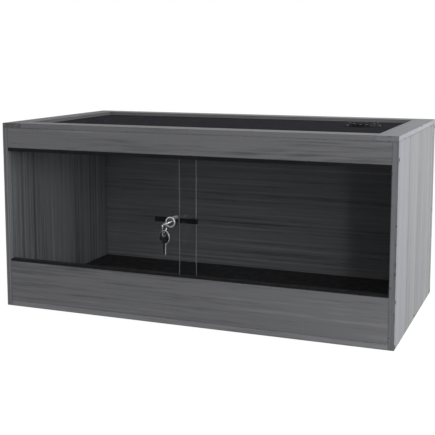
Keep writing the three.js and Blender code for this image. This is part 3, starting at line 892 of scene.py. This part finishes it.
@dataclass
class TopScreen(SubAssembly):
    """Black wire screen in the top frame, and the strips that hold it."""

    pitch: float = 3.4 * MM
    wire: float = 0.55 * MM
    port_clearance: float = 0.4 * MM
    crossing: float = 0.6
    strip_edge: float = 0.2 * MM

    def lines(self, low: float, high: float) -> np.ndarray:
        """Evenly spaced places of the wires across the screen.

        Args:
            low: one edge.
            high: the other edge.

        Returns:
            The places, about one pitch apart.
        """
        count = int(round((high - low) / self.pitch))
        return np.linspace(low + self.wire, high - self.wire, count)

    def wires(self, places: np.ndarray, low: float, high: float, hole: tuple[float, float, float],
              height: float, across: bool) -> Surface:
        """Wires one way, each in two lengths where the port is.

        Args:
            places: where the wires lie, square to their own way.
            low: where they start.
            high: where they end.
            hole: the port's place along the wires, its place across them, and its radius.
            height: of the wires' centres.
            across: whether they run along x.

        Returns:
            The surface.
        """
        along, beside, radius = hole
        chord = np.sqrt(np.maximum(radius ** 2 - (places - beside) ** 2, 0.0))
        split = chord > 0
        near = np.concatenate([np.full(len(places), low), (along + chord)[split]])
        far = np.concatenate([np.where(split, along - chord, high),
                              np.full(int(split.sum()), high)])
        place = np.concatenate([places, places[split]])
        level = np.full(len(place), height)
        order = [0, 1, 2] if across else [1, 0, 2]
        starts, ends = (np.column_stack([end, place, level])[:, order] for end in (near, far))
        return straight_wires(starts, ends, self.wire, (0, 1, 0) if across else (1, 0, 0))

    def build(self) -> None:
        """Makes the crossing wires and dresses the strips."""
        low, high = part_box("screen_mesh")
        nut_low, nut_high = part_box("port_nut")
        centre = (nut_low + nut_high) / 2
        barrel = Port.barrel + self.port_clearance
        middle = (low.z + high.z) / 2
        apart = self.wire * self.crossing
        x_wires = self.wires(self.lines(low.y, high.y), low.x, high.x,
                             (centre.x, centre.y, barrel), middle + apart, True)
        y_wires = self.wires(self.lines(low.x, high.x), low.y, high.y,
                             (centre.y, centre.x, barrel), middle - apart, False)
        wires = Surface.joined([x_wires, y_wires])
        Piece("screen_wires", wires, [self.finishes.wire], "case").finish(
            ["screen_mesh"], "black_screen", sharp=75.0)
        for side in ("left", "right", "front", "back"):
            dress(f"screen_strip_{side}", self.finishes.strip, self.strip_edge)


@dataclass
class Port(SubAssembly):
    """Round port in the screen: a notched collar, its nut and a slotted lid."""

    barrel: float = 33.5 * MM
    bore: float = 31.0 * MM
    rim: float = 36.5 * MM
    ledge: float = 2.5 * MM
    notches: int = 16
    notch_width: float = 5.0 * MM
    notch_depth: float = 2.6 * MM
    rounding: float = 0.5 * MM
    sides_to_notch: int = 16
    lip: float = 1.8 * MM
    lip_rounding: float = 0.9 * MM
    rim_rounding: float = 0.8 * MM
    rim_lean: float = 1.0 * MM
    notch_soft: float = 0.5 * MM
    thread_gap: float = 0.3 * MM
    lid_edge: float = 0.25 * MM

    def collar(self, centre: Vector, low: float, screen: float, high: float,
               flange: float) -> Surface:
        """The collar, turned from its profile and notched round its rim.

        The rim's height is high inside a tooth and high less the notch's depth inside a notch;
        the points of the profile over that height are brought down to it there. notch_soft is
        the width that each step is spread over.

        Args:
            centre: a point on the axis.
            low: the barrel's foot.
            screen: the screen's top, where the flange lies.
            high: the rim's top.
            flange: the flange's radius.

        Returns:
            The surface.
        """
        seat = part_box("port_lid")[0].z
        foot = screen + self.lip
        inner = self.bore - self.ledge
        corners = [
            (self.bore, low), (self.barrel, low), (self.barrel, screen), (flange, screen),
            (flange, foot), (self.rim, foot), (self.rim - self.rim_lean, high),
            (self.bore, high), (self.bore, seat), (inner, seat), (inner, seat - self.ledge / 2),
            (self.bore, seat - self.ledge),
        ]
        radii = np.full(len(corners), self.rounding)
        radii[[4, 6, 7]] = [self.lip_rounding, self.rim_rounding, self.rim_rounding]
        profile = eased(corners, radii, 5)
        sides = self.notches * self.sides_to_notch
        surface = turned(profile, sides, Turn.UP, (centre.x, centre.y, 0.0))
        points = surface.points.reshape(len(profile), sides, 3)
        turn = full_turn(sides)
        tooth = 2 * math.pi / self.notches
        away = np.abs((turn + tooth / 2) % tooth - tooth / 2) * self.bore
        soft = self.notch_soft
        cut = np.clip((self.notch_width / 2 + soft / 2 - away) / soft, 0.0, 1.0)
        ceiling = high - self.notch_depth * cut
        points[..., 2] = np.minimum(points[..., 2], np.maximum(ceiling, screen))
        top = ceiling - (high - profile[:, 1:2])
        raised = profile[:, 1:2] > high - self.rim_rounding - LEVEL
        points[..., 2] = np.where(raised, np.maximum(top, foot), points[..., 2])
        return Surface(points.reshape(-1, 3), surface.quads)

    def build(self) -> None:
        """Makes the collar and the nut, and dresses the lid."""
        low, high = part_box("port_collar")
        centre = (low + high) / 2
        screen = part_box("screen_mesh")[1].z
        flange = (high.x - low.x) / 2
        collar = self.collar(centre, low.z, screen, high.z, flange)
        Piece("port_collar_turned", collar, [self.finishes.port], "case").finish(
            ["port_collar"], "gloss_black_plastic", sharp=50.0)
        nut_low, nut_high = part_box("port_nut")
        radius = (nut_high.x - nut_low.x) / 2
        inside = self.barrel + self.thread_gap
        profile = eased([(inside, nut_low.z), (radius, nut_low.z), (radius, nut_high.z),
                         (inside, nut_high.z)], self.rounding)
        nut = turned(profile, SIDES, Turn.UP, (centre.x, centre.y, 0.0))
        Piece("port_nut_turned", nut, [self.finishes.track], "case").finish(
            ["port_nut"], "black_plastic")
        dress("port_lid", self.finishes.port, self.lid_edge)


@dataclass
class Doors(SubAssembly):
    """Two panes of float glass with ground edges, and the plastic tracks that they slide in."""

    edge: float = 0.7 * MM
    largest_edge_face: float = 4 * MM * MM
    track_edge: float = 0.25 * MM

    def build(self) -> None:
        """Makes the panes and dresses the tracks."""
        for side in ("left", "right"):
            node = f"{side}_glass_door"
            pane = slab(*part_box(node), self.edge)
            looks = [self.finishes.glass, self.finishes.ground_edge]
            Piece(f"{side}_pane", pane, looks, f"{side}_door").finish(
                [node], "clear_glass", sharp=40.0, flat_over=self.largest_edge_face)
        for node in ("bottom_track", "top_track"):
            dress(node, self.finishes.track, self.track_edge)


@dataclass
class Lock(SubAssembly):
    """Ratchet lock: a toothed bar hooked round the rear pane, a chrome body and its plug."""

    face_width: float = 2.6 * MM
    dish: float = 0.7 * MM
    bore: float = 7.3 * MM
    rounding: float = 1.3 * MM
    slot_clearance: float = 0.3 * MM
    back_wall: float = 1.3 * MM
    rim: float = 0.9 * MM
    inner_rim: float = 0.3 * MM
    bore_rim: float = 0.2 * MM
    rim_spread: float = 0.5 * MM
    bar_edge: float = 0.12 * MM
    plug_edge: float = 0.2 * MM

    def build(self) -> None:
        """Makes the body and dresses the bar and the plug."""
        low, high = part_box("lock_body")
        centre = (low + high) / 2
        radius = (high.x - low.x) / 2
        bar_low, bar_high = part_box("ratchet_bar")
        pane_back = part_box("right_glass_door")[1].y
        slot_front = pane_back + self.slot_clearance
        slot_back = high.y - self.back_wall
        inner, ring = self.bore, radius - self.face_width
        axis = (centre.x, 0.0, centre.z)
        tube = eased([(radius, low.y), (radius, slot_front), (inner, slot_front),
                      (inner, low.y + self.dish), (ring, low.y + self.dish), (ring, low.y)],
                     [self.rounding, 0.0, 0.0, self.bore_rim, self.inner_rim, self.rim], 6)
        cap = eased([(radius, slot_back), (radius, high.y), (0.0, high.y), (0.0, slot_back)],
                    [0.0, self.inner_rim, 0.0, 0.0], 4)
        half = (bar_high.z - bar_low.z) / 2 + self.slot_clearance
        body = Surface.joined(
            [turned(profile, SIDES, Turn.DEEP, axis) for profile in (tube, cap)]
            + [half_round(radius, half, slot_front, slot_back, centre, way)
               for way in (1, -1)])
        # Painted highlight: quads of the front rim, from just inside the face ring out over the
        # rounded edge, take the painted edge highlight finish; the rest stays chrome.
        middles = body.points[body.quads].mean(1)
        away = np.hypot(middles[:, 0] - centre.x, middles[:, 2] - centre.z)
        front = middles[:, 1] < low.y + self.rim
        body.finish = (front & (away > ring - self.rim_spread)).astype(int)
        looks = [self.finishes.chrome, self.finishes.painted_edge_highlight]
        Piece("lock_barrel", body, looks, "lock").finish(["lock_body"], "chrome", sharp=38.0)
        dress("ratchet_bar", self.finishes.screw, self.bar_edge, 50.0)
        dress("lock_plug", self.finishes.steel, self.plug_edge, 50.0)


@dataclass
class Keys(SubAssembly):
    """The key in the lock, the spare that hangs from it and the ring between them."""

    thickness: float = 2.0 * MM
    edge: float = 0.65 * MM
    bow_length: float = 28.0 * MM
    bow_width: float = 24.0 * MM
    blade_length: float = 27.0 * MM
    blade_width: float = 7.6 * MM
    cuts: int = 5
    point: float = 3.0 * MM
    cut_depth: float = 1.2 * MM
    cut_step: float = 0.8 * MM
    cut_flat: Pair = (0.4, 0.6)
    hole: float = 4.5 * MM
    rim: float = 3.5 * MM
    widest: float = 14.0 * MM
    shoulder_pull: float = 2.0 * MM
    cheek_pulls: Pair = (12.0 * MM, 20.0 * MM)
    crown_pull: float = 7.0 * MM
    facing: float = 0.9
    tilt: float = math.radians(25.0)
    ring: float = 10.0 * MM
    ring_wire: float = 0.9 * MM

    def bow(self) -> np.ndarray:
        """One side of the bow, from the shoulder to the crown.

        Two cubic curves: (1-t)^3 A + 3t(1-t)^2 B + 3t^2(1-t) C + t^3 D, from the shoulder to
        the widest line and from there over the crown.

        Returns:
            Rows of x and y, with x positive.
        """
        half, blade = self.bow_width / 2, self.blade_width / 2
        upper, lower = self.cheek_pulls
        first = np.array([[blade, 0], [half, -self.shoulder_pull], [half, -upper],
                          [half, -self.widest]])
        second = np.array([[half, -self.widest], [half, -lower],
                           [self.crown_pull, -self.bow_length], [0, -self.bow_length]])
        t = np.linspace(0.0, 1.0, 14)[:, None]
        weights = [(1 - t) ** 3, 3 * t * (1 - t) ** 2, 3 * t ** 2 * (1 - t), t ** 3]
        curves = [sum(w * p for w, p in zip(weights, points)) for points in (first, second)]
        return np.concatenate([curves[0][:-1], curves[1]])

    def outlines(self) -> list[np.ndarray]:
        """The key's outer line and the hole in its bow.

        Returns:
            Rows of x and y, with the shoulder at y = 0 and the blade towards +y.
        """
        blade = self.blade_width / 2
        pitch = (self.blade_length - 2 * self.point) / self.cuts
        start = self.point + pitch * np.arange(self.cuts)
        depth = self.cut_depth + self.cut_step * (np.arange(self.cuts) % 2)
        teeth = np.stack([
            np.column_stack([np.full(self.cuts, blade), start]),
            *(np.column_stack([blade - depth, start + pitch * share])
              for share in self.cut_flat)], 1).reshape(-1, 2)
        shank = self.blade_length - self.point
        tip = np.array([[blade, shank], [0.0, self.blade_length], [-blade, shank]])
        right = self.bow()
        left = right * np.array([-1.0, 1.0])
        outer = np.concatenate([teeth, tip, left[:-1], right[::-1]])
        angle = full_turn(40)
        centre = -(self.bow_length - self.rim - self.hole)
        hole = np.column_stack([self.hole * np.cos(angle), centre + self.hole * np.sin(angle)])
        return [outer, hole]

    def key(self, name: str, matrix: Matrix, body: str, node: str) -> None:
        """One key, placed by a matrix.

        Args:
            name: the piece's name.
            matrix: from the key's own plane to its place.
            body: the body that it moves with.
            node: the CAD node that it replaces.
        """
        mesh = flat_plate(self.outlines(), self.thickness, self.edge)
        normals = np.empty(3 * len(mesh.polygons))
        mesh.polygons.foreach_get("normal", normals)
        # Painted highlight: faces round the key's edge take the painted edge highlight finish,
        # and the flat faces take the darker nickel.
        mesh.polygons.foreach_set(
            "material_index", (np.abs(normals[2::3]) < self.facing).astype(int))
        mesh.transform(matrix)
        Piece(name, mesh, [self.finishes.nickel, self.finishes.painted_edge_highlight], body).finish(
            [node], "chrome", sharp=50.0)

    def build(self) -> None:
        """Makes both keys and the ring."""
        lock_low, lock_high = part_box("lock_body")
        centre = (lock_low + lock_high) / 2
        key_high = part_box("key")[1]
        shoulder = Vector((centre.x, key_high.y - self.blade_length, centre.z))
        placed = Matrix.Translation(shoulder) @ Matrix.Rotation(-self.tilt, 4, "Y")
        self.key("key_in_lock", placed, "inserted_key", "key")
        spare_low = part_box("spare_key")[0]
        ring_low, ring_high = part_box("key_ring")
        middle = (ring_low + ring_high) / 2
        hung = Matrix.Translation((middle.x, middle.y, spare_low.z + self.blade_length))
        self.key("key_on_ring", hung @ Matrix.Rotation(-math.pi / 2, 4, "X"), "hanging_key",
                 "spare_key")
        angle = full_turn(16)
        loop = np.column_stack([self.ring + self.ring_wire * np.cos(angle),
                                self.ring_wire * np.sin(angle)])
        surface = turned(loop, 72, Turn.ACROSS, middle)
        Piece("ring_of_wire", surface, [self.finishes.steel], "ring").finish(
            ["key_ring"], "steel")


@dataclass
class Fixings(SubAssembly):
    """Countersunk cross-head screws in the sides, and the dowels hidden under the frame."""

    head: float = 4.2 * MM
    shank: float = 2.0 * MM
    head_depth: float = 2.6 * MM
    head_rim: float = 0.8 * MM
    point: float = 5.0 * MM
    cross_arm: float = 2.5 * MM
    cross_width: float = 0.62 * MM
    cross_depth: float = 1.5 * MM
    sides: int = 48
    soft: float = 0.25 * MM
    rim_drop: float = 0.15 * MM

    def screw(self, face: Vector, tip: float, way: int) -> Surface:
        """One screw along x.

        The head's top is a disc lowered by the cross: depth times how far a point is inside
        either arm, where |x| and |y| are set against the arm's width and length. The rest is
        turned: rim, cone, shank and point.

        Args:
            face: the head's centre.
            tip: the place of the point along x.
            way: 1 on the right side and -1 on the left.

        Returns:
            The surface.
        """
        length = abs(face.x - tip)
        disc = np.linspace(0.0, self.head - self.soft, 16)
        rest = np.array([
            (self.head, -self.rim_drop), (self.head, -self.head_rim),
            (self.shank, -self.head_depth), (self.shank, -(length - self.point)),
            (0.0, -length)])
        profile = np.concatenate([np.column_stack([disc, np.zeros(len(disc))]), rest])
        surface = turned(profile, self.sides, Turn.UP, (0.0, 0.0, 0.0), closed=False)
        points = surface.points
        across, up = np.abs(points[:, 0]), np.abs(points[:, 1])

        def inside(width: np.ndarray, reach: np.ndarray) -> np.ndarray:
            """How far, from 0 to 1, points lie inside one arm."""
            return (np.clip((self.cross_width - width) / self.soft, 0, 1)
                    * np.clip((self.cross_arm - reach) / (3 * self.soft), 0, 1))

        cross = np.maximum(inside(across, up), inside(up, across))
        points[:, 2] -= self.cross_depth * cross * (points[:, 2] > -LEVEL)
        turnover = np.column_stack([way * points[:, 2], way * points[:, 0], points[:, 1]])
        return Surface(turnover + np.array(face), surface.quads)

    def build(self) -> None:
        """Makes every screw and dresses the dowels."""
        for name in sorted(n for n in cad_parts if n.startswith("screw_")):
            low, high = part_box(name)
            way = 1 if name.startswith("screw_right") else -1
            centre = (low + high) / 2
            head, tip = (high.x, low.x) if way > 0 else (low.x, high.x)
            surface = self.screw(Vector((head, centre.y, centre.z)), tip, way)
            Piece(f"{name}_turned", surface, [self.finishes.screw], "case").finish(
                [name], "black_steel", sharp=40.0)
        for name in sorted(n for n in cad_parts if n.startswith("dowel_")):
            dress(name, self.finishes.beech)


# ---------------------------------------------------------------- studio
def hang(name: str, data: bpy.types.ID, place: Triple, direction: Vector) -> bpy.types.Object:
    """Puts a lamp or a camera in its place, facing its direction.

    Args:
        name: its name.
        data: the lamp's or camera's data.
        place: where it is.
        direction: the way that it faces.

    Returns:
        The object.
    """
    thing = bpy.data.objects.new(name, data)
    thing.location = place
    thing.rotation_euler = direction.to_track_quat("-Z", "Y").to_euler()
    bpy.context.scene.collection.objects.link(thing)
    return thing


@dataclass
class Lamp:
    """A soft lamp, square where no height is stated."""

    name: str
    place: Triple
    aim: Triple
    size: float
    power: float
    height: float = 0.0

    def build(self) -> None:
        """Hangs the lamp and turns it to what it lights."""
        data = bpy.data.lights.new(self.name, "AREA")
        data.shape = "RECTANGLE"
        data.size = self.size
        data.size_y = self.height or self.size
        data.energy = self.power
        hang(self.name, data, self.place, Vector(self.aim) - Vector(self.place))


@dataclass
class Studio:
    """White floor and background, soft lamps, a dark card before the glass, and the camera."""

    image: float = 435.0
    sensor: float = 36.0
    focal: float = 900.8
    shift: float = -0.12
    eye: Triple = (0.768, -1.9919, 0.5941)
    yaw: float = math.radians(-21.53)
    pitch: float = math.radians(-7.16)
    sight: float = 60.0
    ambient: float = 0.52
    white: float = 1.0
    floor_glow: float = 0.86
    floor_white: float = 1.12
    floor_grey: float = 0.55
    floor_reach: float = 14.0
    card_tone: Triple = (0.02, 0.02, 0.022)
    card_side: Pair = (-7.0, 4.5)
    card_foot: Pair = (-0.34, 0.004)
    card_head: Pair = (-4.6, 2.8)
    lamps: tuple[Lamp, ...] = (
        Lamp("side_lamp", (1.75, -0.05, 0.75), (0.45, 0.0, 0.2), 0.8, 23.0),
        Lamp("corner_lamp", (2.3, -1.0, 0.5), (0.3, -0.2, 0.2), 0.6, 9.0),
        Lamp("front_lamp", (1.36, -2.4, 1.0), (0.0, 0.2, 0.2), 0.12, 7.5, 1.25),
        Lamp("left_lamp", (-1.9, -1.0, 0.42), (-0.4, -0.2, 0.3), 0.6, 2.0),
    )

    def seen_rays(self, nodes: Nodes) -> Socket:
        """1 for camera, glossy and transmission rays, and 0 for the light that falls on things.

        Args:
            nodes: the node tree.

        Returns:
            The number.
        """
        rays = nodes.add("ShaderNodeLightPath")
        total = rays.outputs["Is Camera Ray"]
        for name in ("Is Glossy Ray", "Is Transmission Ray"):
            total = nodes.math("MAXIMUM", total, rays.outputs[name])
        return total

    def world(self) -> None:
        """Plain white to the eye, and a soft even light to everything else."""
        world = bpy.data.worlds.new("studio")
        world.use_nodes = True
        nodes = Nodes(world.node_tree)
        soft, seen = (
            nodes.add("ShaderNodeBackground", {"Color": WHITE, "Strength": strength}).outputs[0]
            for strength in (self.ambient, self.white))
        surface = nodes.mixed(self.seen_rays(nodes), soft, seen)
        nodes.add("ShaderNodeOutputWorld", {"Surface": surface})
        bpy.context.scene.world = world

    def plane(self, name: str, corners: Sequence[Triple]) -> tuple[bpy.types.Object, Nodes]:
        """One four-cornered sheet of the studio.

        Args:
            name: its name.
            corners: its four corners in order.

        Returns:
            The object, and its material's nodes, still to be filled in.
        """
        mesh = bpy.data.meshes.new(name)
        mesh.from_pydata(corners, [], [[0, 1, 2, 3]])
        material = bpy.data.materials.new(name)
        material.use_nodes = True
        mesh.materials.append(material)
        sheet = bpy.data.objects.new(name, mesh)
        bpy.context.scene.collection.objects.link(sheet)
        return sheet, Nodes(material.node_tree)

    def floor(self) -> None:
        """Pale floor that glows to white for the eye and still takes the cabinet's shadow."""
        far = self.floor_reach
        _, nodes = self.plane(
            "floor", [(-far, -far, 0.0), (far, -far, 0.0), (far, far, 0.0), (-far, far, 0.0)])
        grey = (self.floor_grey, self.floor_grey, self.floor_grey, 1.0)
        diffuse = nodes.add("ShaderNodeBsdfDiffuse", {"Color": grey}).outputs[0]
        glow = nodes.add(
            "ShaderNodeEmission", {"Color": WHITE, "Strength": self.floor_white}).outputs[0]
        share = nodes.math("MULTIPLY", self.seen_rays(nodes), self.floor_glow)
        nodes.add("ShaderNodeOutputMaterial", {"Surface": nodes.mixed(share, diffuse, glow)})

    def card(self) -> None:
        """A dark card in front, which only shows in the glass and the metal."""
        left, right = self.card_side
        sheet, nodes = self.plane("dark_card", [
            (left, *self.card_foot), (right, *self.card_foot),
            (right, *self.card_head), (left, *self.card_head)])
        glow = nodes.add("ShaderNodeEmission", {"Color": (*self.card_tone, 1.0)})
        nodes.add("ShaderNodeOutputMaterial", {"Surface": glow.outputs[0]})
        for ray in ("camera", "diffuse", "shadow", "volume_scatter"):
            setattr(sheet, f"visible_{ray}", False)

    def camera(self) -> None:
        """The camera at the photograph's angle."""
        data = bpy.data.cameras.new("view")
        data.sensor_width = self.sensor
        data.lens = data.sensor_width * self.focal / self.image
        data.shift_y = self.shift
        data.clip_end = self.sight
        level = math.cos(self.pitch)
        forward = Vector(
            (math.sin(self.yaw) * level, math.cos(self.yaw) * level, math.sin(self.pitch)))
        bpy.context.scene.camera = hang("view", data, self.eye, forward)

    def build(self) -> None:
        """Sets up the whole studio."""
        bpy.context.scene.view_settings.view_transform = "Standard"
        self.world()
        self.floor()
        self.card()
        for lamp in self.lamps:
            lamp.build()
        self.camera()
        log.info("studio: %d lamps", len(self.lamps))


def main() -> None:
    """Builds the studio, and then the sub-assemblies in order."""
    logging.basicConfig(level=logging.INFO, format="%(message)s")
    Studio().build()
    finishes = Finishes()
    for part in (Carcass, TopScreen, Port, Doors, Lock, Keys, Fixings):
        part(finishes).build()


if __name__ == "__main__":
    main()
